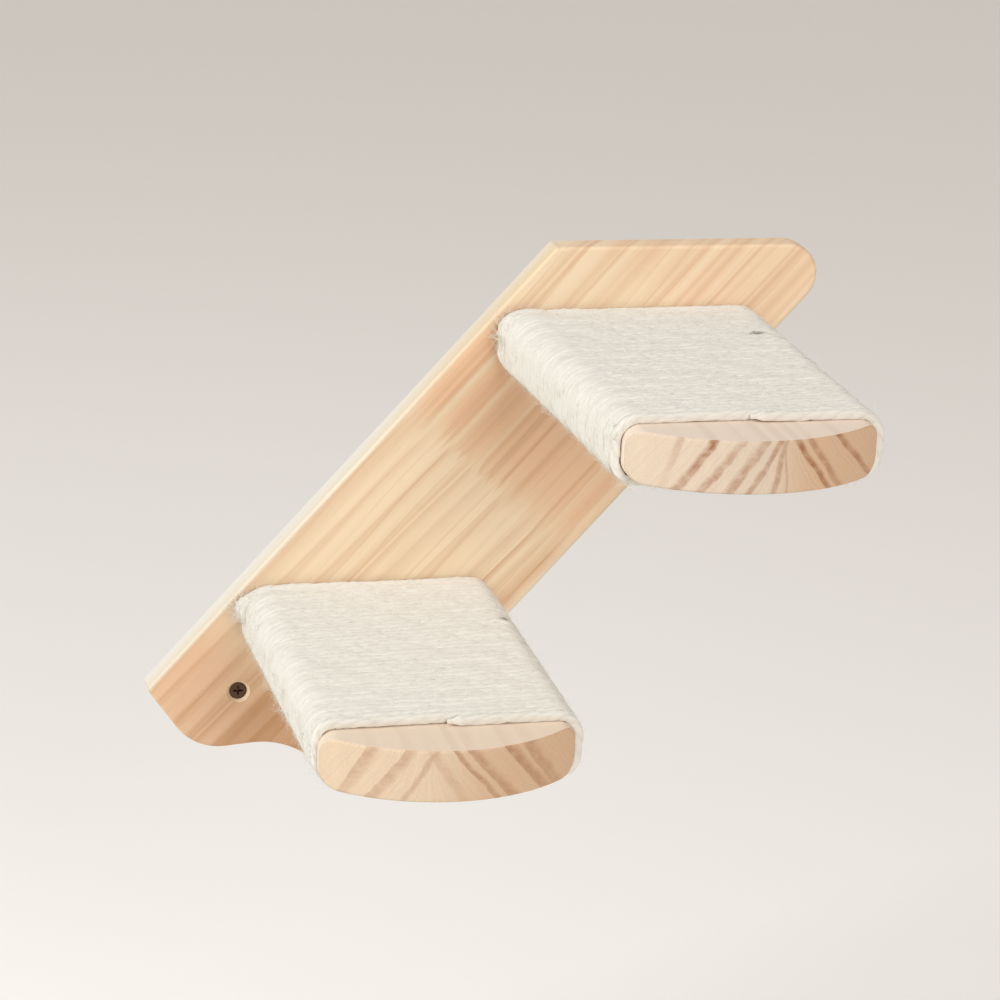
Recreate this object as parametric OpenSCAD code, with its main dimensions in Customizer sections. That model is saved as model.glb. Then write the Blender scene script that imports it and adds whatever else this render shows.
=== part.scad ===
// Cat wall shelf: two rope-wound pine steps on a slanted pine backboard.
// X runs to the right along the wall, Z runs up, and the wall is the plane y = 0.
// The origin is midway between the two wall screws, on the wall.

/* [Backboard] */
// Width of the board, across its slanted length
board_width = 128; // [120:1:140]
// Thickness of the board
board_thickness = 18; // [15:1:24]
// Slant of the board above the horizontal, in degrees
board_slant = 48; // [44:1:54]
// Height of the level top end above the origin
board_top_height = 175; // [172:1:188]
// Length of the board below the lower wall screw, along its left edge
board_foot_margin = 31.5; // [26:0.5:42]
// Radius of the round right end of the top
top_lobe_radius = 17.5; // [8:0.5:22]
// Radius of the nearly square corners of the left edge
board_corner_radius = 3; // [2.5:0.5:6]
// Radius of the eased edges all round both faces
board_ease = 2; // [0.5:0.25:2.25]

/* [Foot of the backboard] */
// How far the lobe hangs below the left corner, along the board
foot_lobe_drop = 10; // [6:0.5:14]
// How far the hollow rises above the left corner
foot_hollow_rise = 26.5; // [20:0.5:32]
// How far the right corner lies above the left corner
foot_heel_rise = 29.5; // [24:0.5:36]
// Radius of the lobe
foot_lobe_radius = 30; // [20:1:34]
// Radius of the hollow
foot_hollow_radius = 46; // [30:1:50]
// Radius of the right corner
foot_heel_radius = 20; // [12:1:24]

/* [Steps] */
// Width of a step plank
step_width = 130; // [120:1:140]
// Thickness of a step plank
step_thickness = 27; // [24:0.5:32]
// Length of a plank's straight sides, from the board to where its bow begins
step_length = 208; // [150:1:230]
// How far the bowed front end stands out past the straight sides
step_bow = 29; // [15:1:40]
// Radius of a plank's long edges
step_edge_radius = 9; // [5:0.5:11]
// Place of the upper step along the board, from the origin
upper_step_along = 170.1; // [165:0.1:180]
// Place of the upper step across the board, to the right of its middle line
upper_step_across = 7.6; // [0:0.1:12]
// Place of the lower step along the board, from the origin
lower_step_along = -41.6; // [-50:0.1:-30]
// Place of the lower step across the board, to the right of its middle line
lower_step_across = 0.4; // [-5:0.1:8]

/* [Rope] */
// Width of the rope along the step, as it lies flattened on the plank
rope_width = 7.9; // [6:0.1:9]
// Height of the flattened rope above the plank
rope_height = 4.6; // [4:0.1:7]
// Gap between neighbouring turns of a winding
rope_turn_gap = 0.6; // [0.5:0.1:1.5]

/* [Wall screws] */
// Distance between the two wall screws
wall_screw_spacing = 250; // [240:1:260]
// Angle between the line of the screws and the board's length, in degrees
wall_screw_skew = 11; // [6:0.5:14]
// Length of a wall screw
wall_screw_length = 60; // [45:1:80]
// Diameter of a wall screw over its thread
wall_screw_diameter = 5; // [4:0.5:6]
// Diameter of a wall screw's head
wall_screw_head = 10; // [8.5:0.5:12]
// Depth of a wall screw's head below the board's front
wall_screw_sink = 1.5; // [0.5:0.25:3]

/* [Step screws and dowels] */
// Distance of the outer step screws from the middle one
step_screw_spread = 42; // [36:1:48]
// Length of a step screw
step_screw_length = 60; // [45:1:80]
// Diameter of a step screw over its thread
step_screw_diameter = 5; // [4:0.5:6]
// Diameter of a step screw's head
step_screw_head = 10; // [8.5:0.5:12]
// Depth of a step screw's head below the board's back
step_screw_sink = 0.5; // [0.25:0.25:2]
// Distance of a dowel from the middle of its step
dowel_spread = 21; // [16:1:26]
// Diameter of a dowel
dowel_diameter = 8; // [6:0.5:10]
// Length of a dowel
dowel_length = 35; // [25:1:45]
// Depth of a dowel in the backboard
dowel_board_depth = 11; // [8:0.5:12]

/* [Rope staples] */
// Width of a staple's crown, across the rope
staple_crown = 6; // [5:0.25:7]
// Length of a staple's legs
staple_leg = 12; // [10:0.5:15]
// Thickness of the staple's wire
staple_wire = 0.8; // [0.6:0.1:1]
// Breadth of the staple's wire, along the rope
staple_breadth = 1.25; // [1:0.05:1.6]

/* [Hidden] */
$fn = 64;
// Clearance round screws, dowels and staples in their holes
fit_clearance = 0.15;
// Room at the blind end of a hole
hole_end_room = 1;
// Clearance between the rope and the plank that it is wound on
rope_clearance = 0.15;
// Clearance between the first turn and the board
rope_board_clearance = 0.4;
// Bare wood between the last turn and the start of the bow
rope_front_margin = 4;
// Overrun of cuts
cut_overrun = 1;
// Height of a screw's conical head under its rim, as a share of the rim's overhang
screw_cone_share = 1;
// Shares of a screw head's diameter: the driver recess's length, breadth and depth
recess_length_share = 0.56;
recess_breadth_share = 0.12;
recess_depth_share = 0.2;
// Diameter of a screw's plain shank, and length of its point, as shares of its thread's diameter
screw_shank_share = 0.74;
screw_point_share = 1.6;
// Chamfer of a dowel's ends, as a share of its diameter
dowel_chamfer_share = 0.12;
// Places of the foot's lobe and hollow, as shares of the board's width from its left edge
foot_lobe_share = 0.353;
foot_hollow_share = 0.622;
// Straight run at each side of the plank's underside, as a share of the rope's width
rope_run_share = 1.25;
// Steps of a rounded corner in an outline, of an eased edge, and of the rope round a plank's edge
arc_steps = 8;
ease_steps = 3;
rope_corner_steps = 3;
// Sides of the rope's tube
rope_sides = 6;

wood_colour = "#dfbd8c";
end_wood_colour = "#e6cda6";
rope_colour = "#ece6da";
screw_colour = "#4a3626";
steel_colour = "#b9bcc0";
dowel_colour = "#cfa878";

step_names = ["upper", "lower"];
screw_names = ["left", "middle", "right"];
dowel_names = ["left", "right"];
staple_names = ["rear", "front"];

// The work frame: x to the right, y up, z out of the wall
module on_wall() rotate([90, 0, 0]) children();

// Directions along and across the board, and a place on it
board_along = [cos(board_slant), sin(board_slant)];
board_across = [sin(board_slant), -cos(board_slant)];
function on_board(along, across) = along * board_along + across * board_across;
// Distance along the board at which a line parallel to its edges reaches the level top
function along_at_top(across) = (board_top_height - across * board_across[1]) / board_along[1];

step_places = [on_board(upper_step_along, upper_step_across), on_board(lower_step_along, lower_step_across)];
screw_offsets = [-step_screw_spread, 0, step_screw_spread];
dowel_offsets = [-dowel_spread, dowel_spread];
wall_screw_angle = board_slant - wall_screw_skew;
wall_screw_reach = wall_screw_spacing / 2 * [cos(wall_screw_angle), sin(wall_screw_angle)];
wall_screw_places = [wall_screw_reach, -wall_screw_reach];

// Outlines with rounded corners
function unit(v) = v / norm(v);
function left_of(v) = [-v[1], v[0]];
function turned(v, a) = [v[0] * cos(a) - v[1] * sin(a), v[0] * sin(a) + v[1] * cos(a)];
function wrapped(list, i) = list[(i + len(list)) % len(list)];
function heading(points, i) = unit(wrapped(points, i + 1) - wrapped(points, i));
function bend(points, i) = sign(cross(heading(points, i - 1), heading(points, i)));
function rounded_corner(points, i, radius) =
    let (
        before = heading(points, i - 1),
        after = heading(points, i),
        turn = acos(before * after),
        side = bend(points, i),
        start = points[i] - before * radius * tan(turn / 2),
        middle = start + side * radius * left_of(before)
    )
    [for (k = [0 : arc_steps])
        middle - side * radius * turned(left_of(before), side * turn * k / arc_steps)];
function rounded_outline(points, radii) =
    [for (i = [0 : len(points) - 1]) each rounded_corner(points, i, radii[i])];
// The same outline drawn in by a distance, for points that run anticlockwise
function drawn_in(points, distance) =
    [for (i = [0 : len(points) - 1])
        let (a = left_of(heading(points, i - 1)), b = left_of(heading(points, i)))
        points[i] + distance * (a + b) / (1 + a * b)];
function drawn_in_radii(points, radii, distance) =
    [for (i = [0 : len(points) - 1]) radii[i] - bend(points, i) * distance];

// Faces of a skin over rings of points, with both ends closed
function ring_faces(rings, sides) = concat(
    [for (k = [0 : rings - 2]) for (j = [0 : sides - 1])
        let (a = k * sides + j, b = k * sides + (j + 1) % sides)
        each [[a, a + sides, b], [b, a + sides, b + sides]]],
    [[for (j = [0 : sides - 1]) j]],
    [[for (j = [0 : sides - 1]) rings * sides - 1 - j]]
);

// Backboard: control points from the left corner of the foot, anticlockwise
board_foot = wall_screw_spacing / 2 * cos(wall_screw_skew) + board_foot_margin;
board_points = [
    on_board(-board_foot, -board_width / 2),
    on_board(-board_foot - foot_lobe_drop, board_width * (foot_lobe_share - 1 / 2)),
    on_board(-board_foot + foot_hollow_rise, board_width * (foot_hollow_share - 1 / 2)),
    on_board(-board_foot + foot_heel_rise, board_width / 2),
    on_board(along_at_top(board_width / 2), board_width / 2),
    on_board(along_at_top(-board_width / 2), -board_width / 2)
];
board_radii = [
    board_corner_radius,
    foot_lobe_radius,
    foot_hollow_radius,
    foot_heel_radius,
    top_lobe_radius,
    board_corner_radius
];
// Heights and insets of the rings that make the eased edges
board_layers = concat(
    [for (k = [0 : ease_steps]) let (a = 90 - 90 * k / ease_steps)
        [board_ease * (1 - sin(a)), board_ease * (1 - cos(a))]],
    [for (k = [0 : ease_steps]) let (a = 90 * k / ease_steps)
        [board_thickness - board_ease * (1 - sin(a)), board_ease * (1 - cos(a))]]
);
function board_ring(layer) =
    [for (p = rounded_outline(
            drawn_in(board_points, layer[1]),
            drawn_in_radii(board_points, board_radii, layer[1])))
        [p[0], p[1], layer[0]]];

module eased_board() {
    rings = [for (layer = board_layers) board_ring(layer)];
    polyhedron(points = [for (ring = rings) each ring], faces = ring_faces(len(rings), len(rings[0])));
}

// A countersunk screw along +z: the rim of its head is at z = 0, and a plain shank comes before its thread
function cone_height(head, diameter) = (head - diameter) / 2 * screw_cone_share;
module screw(head, diameter, length, plain) {
    shank = diameter * screw_shank_share;
    point = diameter * screw_point_share;
    recess = head * [recess_length_share, recess_breadth_share, 2 * recess_depth_share];
    difference() {
        rotate_extrude()
            polygon([
                [0, 0],
                [head / 2, 0],
                [shank / 2, cone_height(head, shank)],
                [shank / 2, plain - (diameter - shank) / 2],
                [diameter / 2, plain],
                [diameter / 2, length - point],
                [0, length]
            ]);
        for (quarter = [0, 90])
            rotate([0, 0, quarter])
                cube(recess, center = true);
    }
}
// The hole for it, with its mouth a given sink above the head's rim
module screw_hole(head, diameter, sink, depth) {
    rim = head / 2 + fit_clearance;
    shank = diameter / 2 + fit_clearance;
    cone = cone_height(head, diameter);
    flare = sink + cut_overrun;
    translate([0, 0, -flare])
        cylinder(h = flare, r1 = rim + flare / screw_cone_share, r2 = rim);
    cylinder(h = cone, r1 = rim, r2 = shank);
    cylinder(h = depth, r = shank);
}

// A dowel along +z from its end in the board, and its hole
module dowel() {
    chamfer = dowel_diameter * dowel_chamfer_share;
    radius = dowel_diameter / 2;
    rotate_extrude()
        polygon([
            [0, 0],
            [radius - chamfer, 0],
            [radius, chamfer],
            [radius, dowel_length - chamfer],
            [radius - chamfer, dowel_length],
            [0, dowel_length]
        ]);
}
module dowel_hole() {
    translate([0, 0, -hole_end_room])
        cylinder(h = dowel_length + 2 * hole_end_room, d = dowel_diameter + 2 * fit_clearance);
}
dowel_start = board_thickness - dowel_board_depth;
// Plain lengths of the screws, which end with the board
step_screw_plain = board_thickness - step_screw_sink;
wall_screw_plain = board_thickness - wall_screw_sink;

// Places of the fasteners in the work frame
module at_step(step, offset) translate([step_places[step][0] + offset, step_places[step][1], 0]) children();
module at_step_screw(step, k) at_step(step, screw_offsets[k]) translate([0, 0, step_screw_sink]) children();
module at_dowel(step, k) at_step(step, dowel_offsets[k]) translate([0, 0, dowel_start]) children();
module at_wall_screw(k)
    translate([wall_screw_places[k][0], wall_screw_places[k][1], board_thickness - wall_screw_sink])
        mirror([0, 0, 1]) children();
module step_fixing_holes(step) {
    screw_depth = step_screw_length + hole_end_room;
    for (k = [0 : len(screw_offsets) - 1])
        at_step_screw(step, k)
            screw_hole(step_screw_head, step_screw_diameter, step_screw_sink, screw_depth);
    for (k = [0 : len(dowel_offsets) - 1])
        at_dowel(step, k) dowel_hole();
}

module backboard() {
    color(wood_colour)
        on_wall() difference() {
            eased_board();
            for (step = [0 : len(step_places) - 1])
                step_fixing_holes(step);
            for (k = [0 : len(wall_screw_places) - 1])
                at_wall_screw(k)
                    screw_hole(wall_screw_head, wall_screw_diameter, wall_screw_sink, wall_screw_length);
        }
}

// Step planks: a bar with rounded long edges, cut to a bow at the front
plank_corner = [step_width / 2, step_thickness / 2];
plank_section = rounded_outline(
    [for (s = [[-1, -1], [1, -1], [1, 1], [-1, 1]]) [s[0] * plank_corner[0], s[1] * plank_corner[1]]],
    [for (k = [0 : 3]) step_edge_radius]
);
bow_radius = (pow(step_width / 2, 2) + pow(step_bow, 2)) / (2 * step_bow);

module plank_bar() {
    linear_extrude(height = step_length + step_bow) polygon(plank_section);
}
module bowed_plan() {
    block = 2 * plank_corner + [2 * cut_overrun, 2 * cut_overrun];
    translate([-block[0] / 2, -block[1] / 2, 0])
        cube([block[0], block[1], step_length - cut_overrun]);
    translate([0, 0, step_length + step_bow - bow_radius])
        rotate([90, 0, 0]) cylinder(r = bow_radius, h = block[1], center = true);
}
module step_plank(step) {
    color(end_wood_colour)
        on_wall() difference() {
            at_step(step, 0) translate([0, 0, board_thickness])
                intersection() {
                    plank_bar();
                    bowed_plan();
                }
            step_fixing_holes(step);
            for (k = [0 : len(staple_names) - 1])
                at_staple(step, k) staple_form(fit_clearance);
        }
}

// Rope: one tube wound round the plank, level on the top and sides, which steps to the next turn underneath
rope_pitch = rope_width + rope_turn_gap;
rope_reach = rope_height / 2 / cos(180 / rope_sides);
rope_loops = 1 + floor((step_length - rope_board_clearance - rope_front_margin - rope_width) / rope_pitch);
rope_run = rope_width * rope_run_share;
rope_lift = rope_clearance + rope_height / 2;
rope_corner_radius = step_edge_radius + rope_lift;
rope_corner = plank_corner - [step_edge_radius, step_edge_radius];
rope_corner_turn = 90 / rope_corner_steps;

function turn_out(i) = board_thickness + rope_board_clearance + rope_width / 2 + i * rope_pitch;
// Points of one turn, each with its outward direction: underside, four corners, underside
function under_point(side, i) =
    [[side * (rope_corner[0] - rope_run), -plank_corner[1] - rope_lift, turn_out(i)], [0, -1, 0]];
function corner_points(side, start, i) =
    [for (k = [0 : rope_corner_steps - 1])
        let (
            angle = start - (k + 1 / 2) * rope_corner_turn,
            out = [cos(angle), sin(angle), 0],
            reach = rope_corner_radius / cos(rope_corner_turn / 2)
        )
        [[side[0] * rope_corner[0], side[1] * rope_corner[1], turn_out(i)] + reach * out, out]];
function turn_points(i) = concat(
    [under_point(-1, i)],
    corner_points([-1, -1], 270, i),
    corner_points([-1, 1], 180, i),
    corner_points([1, 1], 90, i),
    corner_points([1, -1], 0, i),
    [under_point(1, i)]
);
rope_route = [for (i = [0 : rope_loops - 1]) each turn_points(i)];

// A ring of the tube, square to the bisector of the runs that meet there
function run_after(route, k) = let (i = min(k, len(route) - 2)) unit(route[i + 1][0] - route[i][0]);
function run_before(route, k) = run_after(route, max(k - 1, 0));
function tube_ring(route, k) =
    let (
        before = run_before(route, k),
        after = run_after(route, k),
        ahead = unit(before + after),
        side = unit(cross(ahead, route[k][1])),
        out = cross(side, ahead),
        change = after - before,
        inward = norm(change) > 0 ? unit(change) : change,
        stretch = 2 / norm(before + after) - 1
    )
    [for (j = [0 : rope_sides - 1])
        let (
            a = 360 * j / rope_sides,
            offset = rope_width / 2 * cos(a) * side + rope_reach * sin(a) * out
        )
        route[k][0] + offset + stretch * (offset * inward) * inward];

module rope_tube() {
    rings = len(rope_route);
    polyhedron(
        points = [for (k = [0 : rings - 1]) each tube_ring(rope_route, k)],
        faces = ring_faces(rings, rope_sides)
    );
}

// Least gap of a winding to itself, from its middle line to the runs one loop further on
loop_points = len(turn_points(0));
function to_run(p, a, b) =
    let (along = b - a, share = max(0, min(1, (p - a) * along / (along * along))))
    norm(p - a - share * along);
function gaps_from(k) =
    [for (m = [k + ceil(loop_points / 2) : min(k + 2 * loop_points, len(rope_route) - 2)])
        to_run(rope_route[k][0], rope_route[m][0], rope_route[m + 1][0]) - rope_width];
least_gap = min([for (k = [0 : len(rope_route) - loop_points - 1]) min(gaps_from(k))]);
echo(str("least gap of a winding to itself, in mm: ", least_gap));
rope_steps = [for (k = [1 : len(rope_route) - 1]) norm(rope_route[k][0] - rope_route[k - 1][0])];
rope_length = rope_steps * [for (s = rope_steps) 1];
echo(str("turns on a step: ", rope_loops, ", length of its rope in mm: ", rope_length));

module step_rope(step) {
    color(rope_colour)
        on_wall() difference() {
            at_step(step, 0) rope_tube();
            for (k = [0 : len(staple_names) - 1])
                at_staple(step, k) staple_form(fit_clearance);
        }
}

// Staples: one over each end of a rope, under the plank, its crown level with the rope's underside
staple_sides = [-1, 1];
staple_turns = [0, rope_loops - 1];
rope_underside = -plank_corner[1] - rope_lift - rope_height / 2;
module at_staple(step, k)
    at_step(step, staple_sides[k] * (rope_corner[0] - rope_run / 2))
        translate([0, rope_underside, turn_out(staple_turns[k])]) children();
module staple_form(room) {
    breadth = staple_breadth + 2 * room;
    thick = staple_wire + 2 * room;
    crown = staple_crown + 2 * room;
    translate([-breadth / 2, -room, -crown / 2])
        cube([breadth, thick, crown]);
    for (end = [-1, 1])
        translate([-breadth / 2, -room, end * (staple_crown - staple_wire) / 2 - thick / 2])
            cube([breadth, staple_leg + 2 * room, thick]);
}
module step_staple(step, k) {
    color(steel_colour) on_wall() at_staple(step, k) staple_form(0);
}

module step_screw(step, k) {
    color(steel_colour)
        on_wall() at_step_screw(step, k)
            screw(step_screw_head, step_screw_diameter, step_screw_length, step_screw_plain);
}
module step_dowel(step, k) {
    color(dowel_colour) on_wall() at_dowel(step, k) dowel();
}
module wall_screw(k) {
    color(screw_colour)
        on_wall() at_wall_screw(k)
            screw(wall_screw_head, wall_screw_diameter, wall_screw_length, wall_screw_plain);
}

backboard();
for (s = [0 : len(step_names) - 1]) {
    step_plank(s);
    step_rope(s);
    for (k = [0 : len(screw_names) - 1])
        step_screw(s, k);
    for (k = [0 : len(dowel_names) - 1])
        step_dowel(s, k);
    for (k = [0 : len(staple_names) - 1])
        step_staple(s, k);
    wall_screw(s);
}
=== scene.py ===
import math

import bmesh
import bpy
import numpy as np
from bpy.props import FloatProperty, FloatVectorProperty, IntProperty, PointerProperty
from mathutils import Euler, Matrix, Vector


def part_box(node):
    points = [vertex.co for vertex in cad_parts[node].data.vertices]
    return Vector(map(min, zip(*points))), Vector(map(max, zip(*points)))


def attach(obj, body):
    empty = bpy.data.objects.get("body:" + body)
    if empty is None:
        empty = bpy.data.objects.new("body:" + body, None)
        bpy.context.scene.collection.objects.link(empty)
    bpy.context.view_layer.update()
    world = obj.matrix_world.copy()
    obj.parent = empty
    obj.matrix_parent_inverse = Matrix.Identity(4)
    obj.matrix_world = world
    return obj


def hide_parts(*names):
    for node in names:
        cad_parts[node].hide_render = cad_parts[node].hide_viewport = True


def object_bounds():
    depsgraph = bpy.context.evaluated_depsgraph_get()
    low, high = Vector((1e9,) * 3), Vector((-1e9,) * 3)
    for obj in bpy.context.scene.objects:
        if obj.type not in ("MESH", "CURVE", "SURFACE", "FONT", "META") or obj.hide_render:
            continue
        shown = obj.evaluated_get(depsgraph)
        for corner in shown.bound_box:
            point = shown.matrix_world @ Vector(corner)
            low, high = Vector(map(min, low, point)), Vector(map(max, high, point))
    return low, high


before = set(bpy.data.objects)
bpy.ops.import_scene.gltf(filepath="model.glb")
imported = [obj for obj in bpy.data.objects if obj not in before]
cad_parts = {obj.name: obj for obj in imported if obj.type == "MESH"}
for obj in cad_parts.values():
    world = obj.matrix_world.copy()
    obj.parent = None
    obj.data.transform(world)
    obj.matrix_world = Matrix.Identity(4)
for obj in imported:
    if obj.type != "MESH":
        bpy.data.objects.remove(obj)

bl_info = {
    "name": "Cat Wall Shelf",
    "version": (1, 0, 0),
    "blender": (4, 5, 0),
    "location": "3D View > Sidebar > Cat Shelf",
    "description": "Dresses the solids of a cat wall shelf: pine board, pine steps, rope and fixings",
    "category": "Add Mesh",
}

CAD_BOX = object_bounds()
STEPS = ("upper", "lower")
SCREWS = ("left", "middle", "right")
DOWELS = ("left", "right")
STAPLES = ("rear", "front")
# The way in which the steps stand out from the board
FRONT = np.array([0.0, -1.0, 0.0])
# Shader patterns are laid out in millimetres
PER_METRE = 1000.0
TIMBER_IOR = 1.45
# Points that are closer than this, in metres, are one
SAME = 1e-6
BAKE_MAP = "OFBake"


def tint(red, green, blue):
    """A screen colour, from 0 to 255, as the linear colour that shaders take."""
    shares = [value / 255 for value in (red, green, blue)]
    return tuple(s / 12.92 if s <= 0.04045 else ((s + 0.055) / 1.055) ** 2.4 for s in shares)


def length(name, description, default):
    return FloatProperty(name=name, description=description, default=default, unit="LENGTH", precision=5)


def share(name, description, default):
    return FloatProperty(name=name, description=description, default=default, min=0, max=2)


def power(name, description, default):
    return FloatProperty(name=name, description=description, default=default, min=0, unit="POWER")


def count(name, description, default):
    return IntProperty(name=name, description=description, default=default, min=0)


def colour(name, description, default):
    return FloatVectorProperty(
        name=name, description=description, default=default, subtype="COLOR", size=3, min=0, max=1
    )


# Settings


class BoardSettings(bpy.types.PropertyGroup):
    """Timber of the backboard."""

    slant: FloatProperty(
        name="Slant", description="Slant of the grain above the horizontal", subtype="ANGLE",
        default=math.radians(48),
    )
    half_width: length("Half width", "Half the width of the board", 0.064)
    thickness: length("Thickness", "Thickness of the board", 0.018)
    joint_place: length("Finger joint", "Place of the finger joint along the board, from the origin", 0.0575)
    finger_length: length("Finger length", "Length of the fingers of the joint", 0.0065)
    finger_width: length("Finger width", "Width of a finger and its gap", 0.0052)
    ring_spacing: length("Ring spacing", "Usual spacing of the fine growth rings across the board", 0.0085)
    ring_drift: share("Ring drift", "How far rings run to the left for each unit down the board", 0.046)
    # The mouths of the wall screws' holes are painted paler: cut wood and a painted highlight on the
    # countersinks' lit walls
    mouth_highlight_reach: length("Mouth's reach", "Reach of the cut wood round a wall screw", 0.0078)
    pale_timber: colour("Pale timber", "Colour of the paler timber", tint(240, 216, 184))
    # The warm timber is also painted as shade under the upper step, on the foot and at the top end
    warm_timber_and_shade: colour("Warm timber", "Colour of the redder timber above the joint", tint(236, 195, 158))
    ring_line: colour("Ring line", "Colour of the dark side of a growth ring", tint(203, 152, 108))
    # The edge colour is paler side grain and partly painted highlight of the brightly lit long edges
    edge_timber_and_highlight: colour("Edge timber", "Colour of the board's sanded long edges", tint(227, 222, 212))
    edge_warmth: colour("Edge warmth", "Their colour at the front and towards the top", tint(223, 200, 166))


class StepSettings(bpy.types.PropertyGroup):
    """Shape and timber of the step planks."""

    bow: length("Bow", "How far the bowed front end stands out past the straight sides", 0.029)
    edge_radius: length("Edge radius", "Radius of a plank's long edges", 0.009)
    ease: length("Ease", "Radius of the eased edge round the bowed end", 0.0012)
    upper_timber: colour("Upper timber", "Colour of the upper plank's pale wood", tint(235, 212, 188))
    upper_tan: colour("Upper tan", "Colour of the upper plank's redder wood", tint(229, 188, 151))
    lower_timber: colour("Lower timber", "Colour of the lower plank's pale wood", tint(239, 212, 181))
    lower_tan: colour("Lower tan", "Colour of the lower plank's redder wood", tint(229, 189, 152))
    upper_side: colour("Upper side", "Colour of the upper plank's long grain", tint(234, 215, 198))
    lower_side: colour("Lower side", "Colour of the lower plank's long grain", tint(229, 209, 188))
    streak: colour("Streak", "Colour of the dark growth rings", tint(160, 96, 44))
    long_share: share("Long grain's share", "Strength of rings along a plank, as a share of its end's", 0.16)
    end_shade: share("End shade", "Brightness of the end grain, as a share of the long grain's", 0.81)


class RopeSettings(bpy.types.PropertyGroup):
    """Winding of the rope on each step."""

    turns: count("Turns", "Turns of rope on a step", 41)
    board_gap: length("Gap to the board", "Gap between the first turn and the board", 0.0004)
    lay: length("Lay", "Length of rope in which its strands turn once round it", 0.026)
    front_reach: length("Front reach", "How far the last turn stands in front of its solid", 0.0025)
    strand_depth: share("Strand depth", "Depth of the strands' grooves, as a share of the radius", 0.06)
    lumps: share("Lumps", "Unevenness of the rope's thickness along it", 0.05)
    wool: share("Wool", "Unevenness of the rope's surface", 0.075)
    bite: length("Bite", "How far a staple presses the rope in", 0.0010)
    tail: length("Tail", "How far past the middle of the top the rope ends", 0.0005)
    wander: length("Wander", "How far the turns stray from their even places", 0.00020)
    fibres: count("Loose fibres", "Loose fibres on a step's rope", 12500)
    hair_share: share("Hair's share", "Share of the fibres that stand off the rope", 0.3)
    tuft: count("Tuft", "Fibres of the frayed end at the board", 120)
    fibre_length: length("Fibre length", "Usual length of a loose fibre", 0.0055)
    fibre_thickness: length("Fibre thickness", "Thickness of a loose fibre at its root", 0.00013)
    crown: colour("Crown", "Colour of the rope where its strands stand proud", tint(228, 223, 213))
    # The groove colour is painted shade in the rope's grooves
    groove_shade: colour("Groove", "Colour of the rope in the grooves", tint(219, 211, 199))
    seed: count("Seed", "Seed of the rope's irregularities", 7)


class FixingSettings(bpy.types.PropertyGroup):
    """Screws, dowels and staples."""

    thread_pitch: length("Thread pitch", "Pitch of the screw threads", 0.0025)
    thread_radius: length("Thread radius", "Radius of a screw over its thread", 0.0025)
    shank_radius: length("Shank radius", "Radius of a screw's plain shank", 0.00185)
    core_radius: length("Core radius", "Radius of a screw between the turns of its thread", 0.0017)
    recess_width: length("Recess width", "Width of the cross recess's arms", 0.0012)
    recess_reach: length("Recess reach", "Length of the cross recess, tip to tip", 0.0056)
    recess_depth: length("Recess depth", "Depth of the cross recess", 0.0019)
    wire_thickness: length("Wire thickness", "Thickness of the staples' flat wire", 0.0008)
    wire_bend: length("Wire bend", "Radius of the staples' shoulders", 0.0009)
    bronze: colour("Bronze", "Colour of the dark wall screws", tint(84, 60, 44))
    zinc: colour("Zinc", "Colour of the plated step screws", tint(206, 200, 180))
    wire: colour("Wire", "Colour of the staples' wire", tint(198, 200, 204))
    beech: colour("Beech", "Colour of the dowels", tint(222, 184, 140))


class StageSettings(bpy.types.PropertyGroup):
    """Camera, floor and light."""

    camera_place: FloatVectorProperty(
        name="Camera place", description="Place of the camera", default=(-0.352622, -1.608439, 0.556578),
        subtype="TRANSLATION", size=3, precision=6,
    )
    camera_turn: FloatVectorProperty(
        name="Camera turn", description="Turn of the camera", subtype="EULER", size=3, precision=6,
        default=tuple(math.radians(angle) for angle in (72.2297, -2.3075, -13.3074)),
    )
    lens: FloatProperty(name="Lens", description="Camera's focal length in millimetres", default=111.4372)
    floor_drop: length("Floor drop", "Distance of the floor below the part", 0.25)
    floor_reach: length("Floor reach", "Half the breadth of the floor", 12.0)
    floor: colour("Floor", "Colour of the floor", tint(232, 230, 226))
    floor_glow: share("Floor glow", "How far the floor is lifted towards the backdrop's colour", 0.25)
    backdrop: colour("Backdrop", "Colour of the surroundings as the camera sees them", tint(226, 224, 220))
    side_power: power("Side light", "Power of the light from the left", 42)
    front_power: power("Front light", "Power of the light from the front", 31.5)
    sky: share("Sky", "Strength of the even light from all round", 0.45)
    sky_tone: colour("Sky tone", "Colour of the even light", (1.0, 0.9, 0.83))


# Shader maths


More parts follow.
